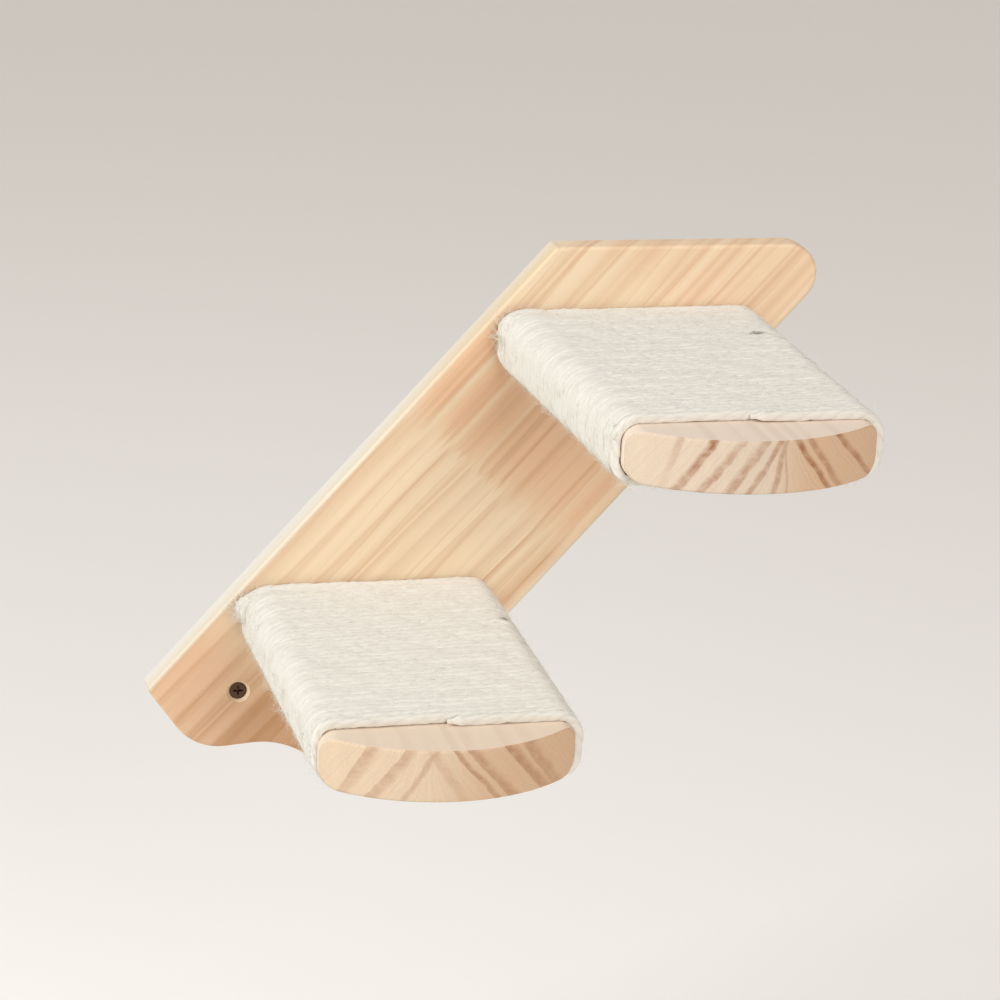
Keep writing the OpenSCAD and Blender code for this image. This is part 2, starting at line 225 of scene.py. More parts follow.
class Wire:
    """An output of a shader node that takes plain arithmetic."""

    def __init__(self, tree, socket=None):
        self.tree = tree
        self.socket = socket

    def node(self, kind, settings=None, inputs=None, output=0):
        """Adds a node: its settings come first, then the values or links of its sockets."""
        made = self.tree.nodes.new(kind)
        for name, value in (settings or {}).items():
            setattr(made, name, value)
        for name, value in (inputs or {}).items():
            if isinstance(value, Wire):
                self.tree.links.new(value.socket, made.inputs[name])
            else:
                made.inputs[name].default_value = value
        return Wire(self.tree, made.outputs[output])

    def maths(self, operation, *others):
        return self.node("ShaderNodeMath", {"operation": operation}, dict(enumerate((self, *others))))

    def __add__(self, other):
        return self.maths("ADD", other)

    __radd__ = __add__

    def __mul__(self, other):
        return self.maths("MULTIPLY", other)

    __rmul__ = __mul__

    def __sub__(self, other):
        return self.maths("SUBTRACT", other)

    def __rsub__(self, other):
        return self.node("ShaderNodeMath", {"operation": "SUBTRACT"}, {0: other, 1: self})

    def __truediv__(self, other):
        return self.maths("DIVIDE", other)

    def __rtruediv__(self, other):
        return self.node("ShaderNodeMath", {"operation": "DIVIDE"}, {0: other, 1: self})

    def object_place(self):
        return self.node("ShaderNodeTexCoord", output="Object")

    def attribute(self, name, output="Fac"):
        """What the mesh keeps under a name."""
        return self.node("ShaderNodeAttribute", {"attribute_name": name}, output=output)

    def parts(self):
        """The three parts of a vector."""
        split = self.node("ShaderNodeSeparateXYZ", None, {0: self}).socket.node
        return [Wire(self.tree, part) for part in split.outputs]

    def vector(self, x, y, z):
        return self.node("ShaderNodeCombineXYZ", None, {0: x, 1: y, 2: z})

    def ease(self, low, high):
        """0 up to low and 1 from high on, with a smooth rise between."""
        return self.node(
            "ShaderNodeMapRange", {"interpolation_type": "SMOOTHSTEP"},
            {"Value": self, "From Min": low, "From Max": high},
        )

    def band(self, left, right, core=0.0):
        """1 at 0, and 0 from a distance to its left and its right on; it stays 1 within a share of both."""
        return self.ease(-left, -left * core) * self.ease(right, right * core)

    def blend(self, first, second):
        """A colour from first to second by this factor."""
        ends = [shade if isinstance(shade, Wire) else (*shade, 1) for shade in (first, second)]
        return self.node("ShaderNodeMix", {"data_type": "RGBA"}, {0: self, 6: ends[0], 7: ends[1]}, output=2)

    def shaded(self, factor):
        """This colour, darker or paler by a factor."""
        return self.node(
            "ShaderNodeMix", {"data_type": "RGBA", "blend_type": "MULTIPLY"},
            {0: 1.0, 6: self, 7: self.vector(factor, factor, factor)}, output=2,
        )

    def noise(self, scale=1.0, detail=2.0, roughness=0.5):
        """Noise over this vector, from 0 to 1."""
        return self.node(
            "ShaderNodeTexNoise", None,
            {"Vector": self, "Scale": scale, "Detail": detail, "Roughness": roughness},
        )

    def line_noise(self, scale=1.0, detail=2.0):
        """Noise over this value, from 0 to 1."""
        return self.node(
            "ShaderNodeTexNoise", {"noise_dimensions": "1D"}, {"W": self, "Scale": scale, "Detail": detail}
        )

    def bump(self, strength, distance):
        return self.node("ShaderNodeBump", None, {"Height": self, "Strength": strength, "Distance": distance})


def finish(name, paint, **constants):
    """A material: constants go on its shader's own sockets, and paint gives what changes over the surface."""
    material = bpy.data.materials.new(name)
    material.use_nodes = True
    tree = material.node_tree
    shader = tree.nodes["Principled BSDF"]
    for socket, value in constants.items():
        shader.inputs[socket.replace("_", " ")].default_value = value
    for socket, wire in paint(Wire(tree)).items():
        tree.links.new(wire.socket, shader.inputs[socket])
    return material


def scaled(shade, factor):
    """A fixed colour, darker or paler by a factor."""
    return tuple(part * factor for part in shade)


def growth_rings(place, spacing):
    """Dark sides of growth rings, which rise slowly and end at once, over a distance in millimetres."""
    pale, darkest = 0.45, 0.97
    ring = (place / spacing + place.line_noise(0.045, 1.0) * 2.6).maths("FRACT")
    strength = place.line_noise(0.13, 1.0).ease(0.34, 0.7)
    return ring.ease(pale, darkest) * ring.ease(1.0, darkest) * strength


def ring_bands(place, bands, line=0.0):
    """The strongest of some soft bands, each with a fine line along its middle where one is asked for.

    A band is given by its middle, how far it fades to its left and its right, and its strength.
    """
    line_width = 0.7
    strongest = place * 0.0
    for middle, left, right, strength in bands:
        apart = place - middle
        band = apart.band(left, right) * strength
        if line:
            band = band + apart.band(line_width, line_width) * (strength * line)
        strongest = strongest.maths("MAXIMUM", band)
    return strongest


def fine_grain(start, across, along, deep):
    """Short fibres along the grain."""
    return start.vector(across * 2.4, along * 0.06, deep * 2.4).noise(1.0, 3.0, 0.6)


def board_paint(look, bands, holes):
    """Finger-jointed pine with bands of grain along the board and painted shade under the steps; paler in the
    mouths of the wall screws' holes and along the long edges, partly as painted highlight.
    """
    joint_place, half_width, spacing = (
        size * PER_METRE for size in (look.joint_place, look.half_width, look.ring_spacing)
    )

    def above_joint(along, across):
        """0 under the finger joint and 1 above it, with a soft border where the joint hardly shows."""
        crooked = across + across.line_noise(0.11, 2.0) * 9
        tooth = (crooked / (look.finger_width * PER_METRE)).maths("FRACT") - 0.5
        finger = (tooth.maths("ABSOLUTE") * 4 - 1) * (across.line_noise(0.35, 1.0) * 3.4 - 0.6)
        joint = along - joint_place - finger * (look.finger_length * PER_METRE / 2)
        clearest, soft_least, soft_most = -12, 3.0, 17.0
        far = (across - clearest).maths("ABSOLUTE").ease(10.0, 36.0)
        soft = far * (soft_most - soft_least) + soft_least
        return joint.ease(soft * -1, soft)

    def highlighted_mouths(x, z, depth):
        """1 in the mouths of the wall screws' holes, which are painted paler: cut wood and a painted
        highlight on the countersinks' lit walls.
        """
        outer, inner = look.mouth_highlight_reach**2, (look.mouth_highlight_reach * 0.9) ** 2
        near = depth * 0.0
        for hole in holes:
            aside, up = x - hole.x, z - hole.z
            near = near + (aside * aside + up * up).ease(outer, inner)
        return near * depth.ease(-0.05, -0.3) * depth.ease(-9.0, -6.0)

    def paint(start):
        x, y, z = start.object_place().parts()
        cos, sin = math.cos(look.slant) * PER_METRE, math.sin(look.slant) * PER_METRE
        along = x * cos + z * sin
        across = x * sin - z * cos
        deep = y * -PER_METRE
        depth = deep - look.thickness * PER_METRE
        # Zones along the board. The warm zone is partly redder timber above the finger joint and partly
        # painted shade, which deepens towards the upper step and stops above it, and darkens the foot under
        # the lower step and the top end.
        above = above_joint(along, across)
        shaded_foot = along.ease(-75.0, -125.0)
        top = along.ease(120.0, 175.0)
        redder = above * 0.5 + along.ease(joint_place - 10, joint_place + 30) * 0.5
        warm_and_shaded = redder * along.ease(160.0, 110.0) + shaded_foot + along.ease(170.0, 215.0) * 0.5
        # Grain
        sway = start.vector(along * 0.006, across * 0.02, 0.0).noise(1.0, 1.0) - 0.5
        place = across + depth * 0.5 + sway * 4
        low = ring_bands(place - along * look.ring_drift, bands["under"], 0.3)
        high = ring_bands(place, bands["above"], 0.1) + ring_bands(place, bands["middle"], 0.3) * (1 - top)
        high = high + ring_bands(place, bands["top"], 0.05) * top
        pale = ring_bands(place, bands["pale"]) + ring_bands(place, bands["pale_middle"]) * (1 - top)
        pale = pale + ring_bands(place, bands["pale_top"]) * top
        # Painted shade on the foot beside the lower step's rope, which shades the board there
        rope_shade = shaded_foot * across.ease(-18.0, -8.0) * 0.9
        # Rings are darker on the foot, as more painted shade there
        dark = low * (1 - above) * (1 + shaded_foot * 0.5) + high * above + rope_shade
        swayed, other_tree = place + sway * 10, 61
        rings = growth_rings(swayed, spacing) * (1 - above)
        rings = rings + growth_rings(swayed + other_tree, spacing) * above
        tone = place.line_noise(0.09, 2.0)
        fibre = fine_grain(start, across, along, deep)
        streak = start.vector(across * 0.9, along * 0.008, depth * 0.6).noise(1.0, 3.0, 0.65)
        # Colour
        # Redder timber and painted shade from the warm zone
        warmth_and_shade = (warm_and_shaded * 0.9 + tone * 0.2 - 0.1).ease(0.0, 1.0)
        wood = warmth_and_shade.blend(look.pale_timber, look.warm_timber_and_shade)
        wood = (pale * above).blend(wood, look.pale_timber)
        wood = (dark * 0.7 + rings * 0.22).blend(wood, look.ring_line)
        # Paler cut wood and a painted highlight in the mouths of the wall screws' holes
        wood = (highlighted_mouths(x, z, depth) * 0.75).blend(wood, look.pale_timber)
        # Long edges: paler side grain, painted paler and greyer still as the highlight of the brightly lit
        # edges, reaching onto the front face as a wider rounding would; warmer towards the front and the top,
        # where the painted highlight fades
        edge = across.maths("ABSOLUTE").ease(half_width - 3.6, half_width + 0.3)
        edge_warming = depth.ease(-15.0, -2.0) * 0.5 + along.ease(-10.0, 150.0) * 0.5
        wood = edge.blend(wood, edge_warming.blend(look.edge_timber_and_highlight, look.edge_warmth))
        return {
            "Base Color": wood.shaded(0.86 + tone * 0.06 + fibre * 0.1 + streak * 0.14),
            "Roughness": 0.55 + fibre * 0.12 - dark * 0.06,
            "Normal": (fibre + rings * 0.3).bump(0.2, 0.0003),
        }

    return paint


def plank_paint(look, step, rings, tan, fan, end):
    """Pine with its grain along the step; rings are drawn on its end and run back along it."""
    plank = Plank(step)
    kinds = ("timber", "tan") if end else ("side", "side")
    timber, redder = (getattr(look, f"{step}_{kind}") for kind in kinds)
    ring_spread, ring_core = 1.2, 0.25
    left_lean, right_lean = 18, -22

    def paint(start):
        x, y, z = start.object_place().parts()
        across = (x - plank.middle.x) * PER_METRE
        up = (z - plank.middle.z) * PER_METRE
        along = y * PER_METRE
        height = up / (2 * plank.half_height * PER_METRE) + 0.5
        sway = start.vector(across * 0.07, along * 0.004, up * 0.09).noise(1.0, 2.0) - 0.5
        rough = start.vector(across * 0.5, along * 0.01, up * 0.5).noise(1.0, 3.0, 0.6) - 0.5
        place = across + sway * 4 + rough * (0.8 if end else 0.0)
        lean = left_lean - (left_lean - right_lean) * place.ease(*fan)
        lines = (place - (height - 0.5) * lean).line_noise(0.8, 4.0)
        dark = height * 0.0
        for top, bottom, left, right, over, under in rings:
            apart = place - bottom - height * (top - bottom)
            strength = height * (over - under) + under if end else (over + under) / 2 * look.long_share
            band = apart.band(left * ring_spread, right * ring_spread, ring_core)
            dark = dark.maths("MAXIMUM", band * strength)
        fibre = fine_grain(start, across, along * 0.0 if end else along, up)
        tone = place.line_noise(0.16, 2.0)
        blotch = start.vector(across * 0.22, along * 0.01, up * 0.3).noise(1.0, 2.0).ease(0.25, 0.65)
        pores = start.vector(across * 1.1, along * 0.05, up * 1.1).noise(1.0, 3.0, 0.6)
        wood = (place.ease(*tan) * 0.8 + tone * 0.5 - 0.25).ease(0.0, 1.0).blend(timber, redder)
        wood = (dark * (0.2 + blotch * 0.42 + lines * 0.5)).blend(wood, look.streak)
        if end:
            shade = (0.69 + tone * 0.1 + fibre * 0.12 + pores * 0.2 + lines * 0.22) * look.end_shade
        else:
            shade = 0.92 + tone * 0.05 + fibre * 0.1
        return {
            "Base Color": wood.shaded(shade),
            "Roughness": 0.58 + fibre * 0.12,
            "Normal": (fibre + dark * 0.4).bump(0.3 if end else 0.2, 0.0003),
        }

    return paint


def rope_paint(look):
    """Off-white rope of fine fibres that lie along it, with painted shade in its grooves and where two turns
    part.
    """

    def paint(start):
        run, front, out = start.attribute("lay", "Vector").parts()
        crown = start.attribute("crown")
        calm = 1 - 0.6 * start.attribute("fuzz")
        fibre = start.vector(run * 0.16, front * 2.2, out * 2.2).noise(1.0, 4.0, 0.65)
        tuft = start.vector(run * 0.3, front * 0.5, out * 0.5).noise(1.0, 2.0)
        patch = (run * 0.004).line_noise(1.0, 2.0)
        # Painted shade from the proud strands into the grooves
        height = crown * 0.6 + fibre * 0.4
        yarn = height.ease(0.05, 0.72).blend(look.groove_shade, look.crown)
        yarn = yarn.shaded(0.96 + patch * 0.07 + (fibre * 0.09 + tuft * 0.06 - 0.06) * calm)
        # Painted shade where two turns part
        parting_shade = 0.45 + crown.ease(-1.0, 0.0) * 0.55
        return {
            "Base Color": yarn.shaded(parting_shade),
            "Roughness": 0.9 - fibre * 0.1,
            "Normal": ((fibre + tuft * 0.6) * calm).bump(0.4, 0.0006),
        }

    return paint


def metal_paint(base, worn, scale):
    """Plated or lacquered metal, a little worn."""

    def paint(start):
        wear = start.object_place().noise(scale, 3.0)
        return {
            "Base Color": wear.ease(0.45, 0.75).blend(base, worn),
            "Roughness": 0.34 + wear * 0.2,
            "Normal": wear.bump(0.15, 0.0001),
        }

    return paint


def dowel_paint(look):
    """Beech with short flecks."""
    fine, long = 1600, 260

    def paint(start):
        x, y, z = start.object_place().parts()
        fleck = start.vector(x * fine, y * long, z * fine).noise(1.0, 2.0)
        return {
            "Base Color": fleck.ease(0.3, 0.7).blend(scaled(look.beech, 0.8), look.beech),
            "Roughness": 0.6 + fleck * 0.1,
        }

    return paint


# Pieces


def piece(name, mesh, nodes=(), matrix=None):
    """Puts a mesh into the scene as a piece that rides on the part and stands for CAD nodes."""
    made = bpy.data.objects.new(name, mesh)
    bpy.context.scene.collection.objects.link(made)
    if matrix is not None:
        made.matrix_world = matrix
    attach(made, "root")
    if nodes:
        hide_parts(*nodes)
    return made


def mesh_of(name, shape, materials=()):
    """A smooth mesh from a bmesh, which is used up."""
    mesh = bpy.data.meshes.new(name)
    for face in shape.faces:
        face.smooth = True
    shape.to_mesh(mesh)
    shape.free()
    for material in materials:
        mesh.materials.append(material)
    return mesh


def ring_mesh(name, rings, materials=()):
    """A smooth mesh over rings of points in one numpy array, ring by ring, with both ends closed."""
    total, sides = rings.shape[:2]
    first = (np.arange(total - 1)[:, None] * sides + np.arange(sides)).ravel()
    after = (np.arange(total - 1)[:, None] * sides + (np.arange(sides) + 1) % sides).ravel()
    faces = np.stack([first, after, after + sides, first + sides], axis=1).tolist()
    faces.append(list(range(sides))[::-1])
    faces.append(list(range((total - 1) * sides, total * sides)))
    mesh = bpy.data.meshes.new(name)
    mesh.from_pydata(rings.reshape(-1, 3).tolist(), [], faces)
    mesh.polygons.foreach_set("use_smooth", np.ones(len(faces), bool))
    for material in materials:
        mesh.materials.append(material)
    return mesh


def shape_of(mesh):
    shape = bmesh.new()
    shape.from_mesh(mesh)
    return shape


def even_shading(made):
    """Keeps flat faces flat where they run into rounded edges."""
    modifier = made.modifiers.new("even_shading", "WEIGHTED_NORMAL")
    modifier.keep_sharp = True


def keep_sharp(shape, degrees):
    """Keeps the edges sharp at which faces turn by more than an angle."""
    for edge in shape.edges:
        edge.smooth = edge.calc_face_angle(math.pi) < math.radians(degrees)


class CATSHELF_OT_backboard(bpy.types.Operator):
    """Dress the backboard in finger-jointed pine"""

    bl_idname = "cat_shelf.backboard"
    bl_label = "Backboard"

    # Bands of the grain, in millimetres from the board's middle line: where each is strongest, how far it
    # fades to its left and its right, and its strength. They are dark under the finger joint, dark and pale
    # above it, and some only from the joint to the upper step or only from there to the top
    bands = {
        "under": (
            (-62.0, 4.0, 13.0, 0.5), (-47.3, 2.5, 6.0, 0.32), (-32.0, 2.8, 6.5, 0.4), (-18.5, 6.0, 2.0, 0.44),
            (-15.5, 2.5, 5.0, 0.42), (-6.0, 2.5, 9.0, 0.28), (7.6, 1.4, 12.0, 0.32), (29.5, 4.0, 5.0, 0.4),
            (37.6, 1.3, 5.0, 0.78), (46.0, 6.0, 9.0, 0.42), (55.0, 12.0, 9.0, 0.8),
        ),
        "above": (
            (-55.0, 5.0, 2.5, 0.52), (-51.5, 2.5, 3.0, 0.5), (-36.5, 7.0, 2.5, 0.42), (-33.8, 3.0, 2.2, 0.45),
            (-21.0, 6.5, 6.5, 0.4),
        ),
        "middle": (
            (-8.8, 2.5, 4.0, 0.44), (-1.5, 5.0, 3.0, 0.5), (5.3, 2.6, 2.0, 0.62), (16.0, 4.0, 6.0, 0.38),
            (39.4, 2.2, 2.2, 0.55), (53.0, 4.0, 3.0, 0.25),
        ),
        "top": (
            (-6.0, 4.0, 8.0, 0.16), (1.2, 4.5, 1.8, 0.48), (9.2, 1.8, 2.6, 0.42), (15.2, 4.0, 3.2, 0.34),
            (23.6, 1.4, 2.2, 0.5), (38.3, 1.8, 2.0, 0.42), (41.8, 3.0, 3.0, 0.6), (51.0, 5.0, 5.0, 0.45),
        ),
        "pale": ((-47.5, 3.5, 4.0, 0.8), (-30.5, 2.5, 4.5, 0.5), (-12.0, 2.2, 3.0, 0.5)),
        "pale_middle": ((46.0, 5.0, 5.0, 0.3), (59.0, 5.0, 6.0, 0.5)),
        "pale_top": ((4.6, 2.4, 3.2, 0.8), (20.5, 2.5, 2.0, 0.6)),
    }

    def execute(self, context):
        look = context.scene.cat_shelf_board
        shape = shape_of(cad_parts["backboard"].data)
        bmesh.ops.remove_doubles(shape, verts=shape.verts, dist=SAME)
        low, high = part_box("backboard")
        for level, normal in ((low.y, (0, -1, 0)), (high.y, (0, 1, 0))):
            self.refill(shape, level, normal)
        keep_sharp(shape, 38)
        holes = [sum(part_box(f"wall_screw_{step}"), Vector()) / 2 for step in STEPS]
        pine = finish("board_pine", board_paint(look, self.bands, holes), IOR=TIMBER_IOR)
        mesh = mesh_of("pine_backboard", shape, [pine])
        even_shading(piece("pine_backboard", mesh, ["backboard"]))
        return {"FINISHED"}

    def refill(self, shape, level, normal):
        """Fills one flat side of the board anew within its outline and the mouths of its holes."""
        flat = [face for face in shape.faces if all(abs(point.co.y - level) < SAME for point in face.verts)]
        inside = set(flat)
        rim = [edge for edge in shape.edges if sum(face in inside for face in edge.link_faces) == 1]
        bmesh.ops.delete(shape, geom=flat, context="FACES_KEEP_BOUNDARY")
        bmesh.ops.triangle_fill(shape, edges=rim, use_beauty=True, normal=normal)
        if any(len(edge.link_faces) != 2 for edge in shape.edges):
            raise RuntimeError("the board is not closed")
        bmesh.ops.recalc_face_normals(shape, faces=shape.faces)


def rounded_rectangle(half_width, half_height, radius, corner_steps=10, side_steps=18):
    """Points of a rounded rectangle, anticlockwise from the end of its lower side."""
    corners = np.array([[1, -1], [1, 1], [-1, 1], [-1, -1]]) * (half_width - radius, half_height - radius)
    angle = (np.arange(4)[:, None] - 1 + np.arange(corner_steps + 1) / corner_steps) * math.pi / 2
    arcs = corners[:, None] + radius * np.stack([np.cos(angle), np.sin(angle)], axis=-1)
    ends, starts = arcs[:, -1:], np.roll(arcs[:, :1], -1, axis=0)
    sides = ends + (starts - ends) * np.arange(1, side_steps)[None, :, None] / side_steps
    return np.concatenate([arcs, sides], axis=1).reshape(-1, 2)


class Plank:
    """Place and size of a step plank, from its solid."""

    def __init__(self, step):
        low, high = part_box(f"{step}_step_plank")
        self.middle = (low + high) / 2
        self.half_width = (high.x - low.x) / 2
        self.half_height = (high.z - low.z) / 2
        self.rear = high.y
        self.front = low.y

    def bowed(self, x, bow):
        """Place along Y of the bowed front end, at a distance to the right of the middle."""
        radius = (self.half_width**2 + bow**2) / (2 * bow)
        return self.front + radius - np.sqrt(radius**2 - x**2)


class CATSHELF_OT_step_planks(bpy.types.Operator):
    """Build the two step planks with eased, bowed ends"""

    bl_idname = "cat_shelf.step_planks"
    bl_label = "Step planks"

    # Growth rings on each plank's end, in millimetres from its middle: where each meets the top and the
    # bottom, how far it fades to its left and its right, and how dark it is at the top and the bottom
    growth = {
        "upper": (
            (-41.9, -49.3, 2.4, 1.8, 0.4, 0.1), (-26.2, -43.2, 3.4, 2.2, 1.1, 0.55),
            (-13.0, -32.6, 3.4, 2.0, 0.4, 0.75), (-1.5, -19.1, 4.6, 2.0, 0.5, 0.65),
            (6.0, -9.9, 2.6, 1.6, 0.65, 0.6), (8.0, 2.5, 2.0, 1.6, 0.5, 0.6), (7.6, 9.1, 0.9, 0.9, 0.4, 0.4),
            (12.8, 32.9, 1.6, 3.0, 0.95, 0.8), (19.8, 39.3, 1.6, 3.4, 0.6, 0.6),
            (36.0, 60.8, 1.6, 3.6, 0.85, 0.6),
        ),
        "lower": (
            (-43.8, -56.9, 1.0, 6.0, 0.5, 0.35), (-26.1, -45.0, 1.0, 6.4, 0.5, 0.4),
            (-12.2, -28.3, 2.2, 2.2, 0.45, 0.3), (-15.4, 2.0, 2.4, 4.4, 0.3, 0.2),
            (-4.1, 19.1, 1.2, 3.2, 0.65, 0.5), (3.6, 26.5, 1.2, 6.0, 0.55, 0.5),
            (23.0, 44.5, 1.2, 6.0, 0.65, 0.5), (33.8, 51.9, 2.4, 6.0, 0.5, 0.35),
        ),
    }
    # Where each plank's timber turns redder
    tan = {"upper": (-8.0, 24.0), "lower": (-30.0, 26.0)}
    # Where each plank's rings turn from leaning one way to leaning the other
    fan = {"upper": (-20.0, 36.0), "lower": (-42.0, 14.0)}
    # Rings of points round the plank before those of its bowed end, in its eased edge and in its end
    side_rings, ease_rings, end_rings = 2, 4, 6

    def execute(self, context):
        look = context.scene.cat_shelf_steps
        for step in STEPS:
            plank = Plank(step)
            rings = self.rings(plank, look)
            materials = []
            for part, end in (("long_grain", False), ("end_grain", True)):
                paint = plank_paint(look, step, self.growth[step], self.tan[step], self.fan[step], end)
                materials.append(finish(f"{step}_step_{part}", paint, IOR=TIMBER_IOR))
            mesh = ring_mesh(f"{step}_pine_step", rings, materials)
            shape = shape_of(mesh)
            for index, face in enumerate(shape.faces):
                face.material_index = int(index // rings.shape[1] >= self.side_rings)
            bmesh.ops.remove_doubles(shape, verts=shape.verts, dist=2 * SAME)
            bmesh.ops.dissolve_degenerate(shape, edges=shape.edges, dist=SAME)
            keep_sharp(shape, 50)
            shape.to_mesh(mesh)
            shape.free()
            even_shading(piece(f"{step}_pine_step", mesh, [f"{step}_step_plank"]))
        return {"FINISHED"}

    def rings(self, plank, look):
        """Rings of points from the board to the middle of the bowed end."""
        levels = [(0.0, None), (0.0, look.ease)]
        for k in range(1, self.ease_rings + 1):
            angle = math.pi / 2 * k / self.ease_rings
            levels.append((look.ease * (1 - math.cos(angle)), look.ease * (1 - math.sin(angle))))
        flat = plank.half_height - look.ease
        levels += [(look.ease + flat * k / self.end_rings, 0.0) for k in range(1, self.end_rings + 1)]
        made = []
        for inset, back in levels:
            outline = rounded_rectangle(
                plank.half_width - inset, plank.half_height - inset, max(look.edge_radius - inset, 0)
            )
            front = plank.rear if back is None else plank.bowed(outline[:, 0], look.bow) + back
            depth = np.broadcast_to(front, len(outline))
            across, up = plank.middle.x + outline[:, 0], plank.middle.z + outline[:, 1]
            made.append(np.stack([across, depth, up], axis=1))
        return np.array(made)


class Winding:
    """Middle line of a rope that is wound round a plank, with its outward directions."""

    def __init__(self, step, look):
        plank = Plank(step)
        low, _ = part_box(f"{step}_step_rope")
        edge = bpy.context.scene.cat_shelf_steps.edge_radius
        self.step = step
        self.look = look
        self.centre = plank.middle
        self.radius = (plank.middle.x - plank.half_width - low.x) / 2
        self.flats = np.array([plank.half_width - edge, plank.half_height - edge])
        self.corner = edge + self.radius
        self.quarter = math.pi / 2 * self.corner
        self.girth = 4 * self.flats.sum() + 4 * self.quarter
        self.left_start = 4 * self.flats[0] + 2 * self.flats[1] + 3 * self.quarter
        self.rear = plank.rear - look.board_gap
        self.front = low.y - look.front_reach

    def section(self, run):
        """Places round the plank and outward directions, for lengths of rope from its start."""
        runs = np.array([2 * self.flats[0], self.quarter, 2 * self.flats[1], self.quarter] * 2)
        starts = np.concatenate([[0], np.cumsum(runs)])
        turned = np.mod(run, self.girth)
        part = np.clip(np.searchsorted(starts, turned, side="right") - 1, 0, 7)
        gone = turned - starts[part]
        side = part // 2
        turn = np.where(part % 2, gone / self.corner, 0.0) + (side - 1) * math.pi / 2
        out = np.stack([np.cos(turn), np.sin(turn)], axis=1)
        corners = np.array([[-1, -1], [1, -1], [1, 1], [-1, 1]]) * self.flats
        ways = np.array([[1, 0], [0, 1], [-1, 0], [0, -1]])
        straight = corners[side] + ways[side] * gone[:, None]
        place = np.where((part % 2)[:, None] > 0, corners[(side + 1) % 4], straight)
        return place + out * self.corner, out


